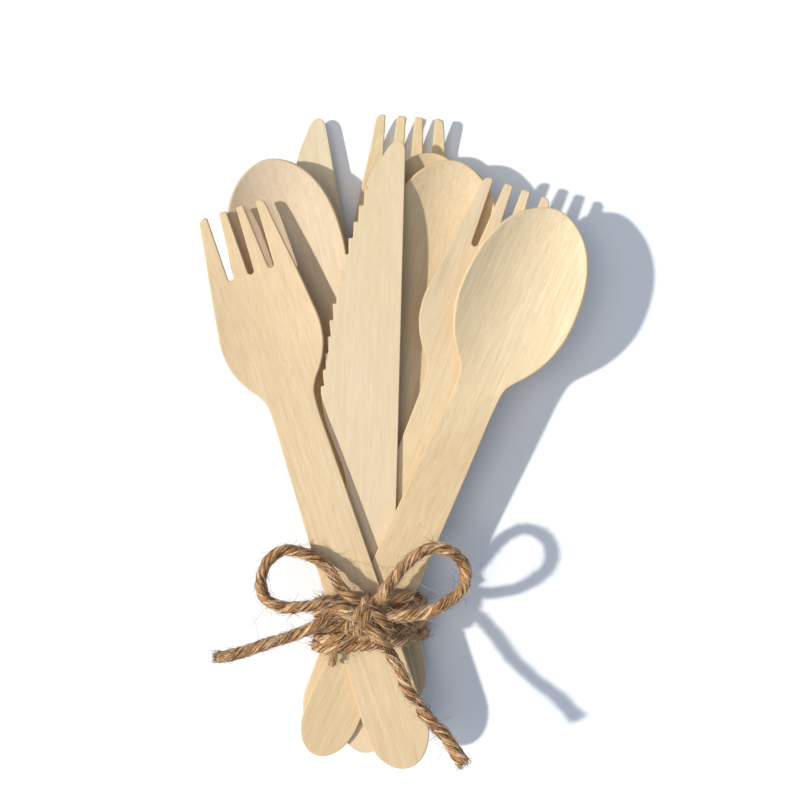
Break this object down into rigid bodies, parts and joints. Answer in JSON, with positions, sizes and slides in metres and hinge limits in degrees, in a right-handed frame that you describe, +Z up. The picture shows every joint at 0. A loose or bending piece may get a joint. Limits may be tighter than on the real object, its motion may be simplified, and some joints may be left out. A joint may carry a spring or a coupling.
{
  "type": "wooden cutlery set",
  "caption": "Disposable birch forks, spoons and knives fanned out in a bundle and tied round their handles with natural twine in a bow.",
  "frame": {"origin": "on the surface that the bundle lies on, under the middle of the outline of the cutlery, the free twine left out", "axes": "+Z up, away from the surface that the bundle lies on; +Y from the tied handles to the heads; +X to the right seen from above with the heads up"},
  "size_m": [0.1057, 0.1806, 0.0359],
  "materials": {
    "birch": "sanded, uncoated",
    "birch_pale": "sanded, uncoated",
    "twine": "rough, hairy jute"
  },
  "bodies": {
    "root": {"fork_front_left": "birch", "spoon_front_right": "birch", "knife_centre": "birch_pale", "fork_right": "birch", "spoon_centre": "birch", "spoon_centre_under": "birch", "spoon_left": "birch", "knife_left": "birch_pale", "fork_back": "birch", "twine_binding": "twine", "twine_knot": "twine", "twine_loop_left": "twine", "twine_loop_right": "twine", "twine_tail_left": "twine", "twine_tail_right": "twine"}
  },
  "joints": []
}
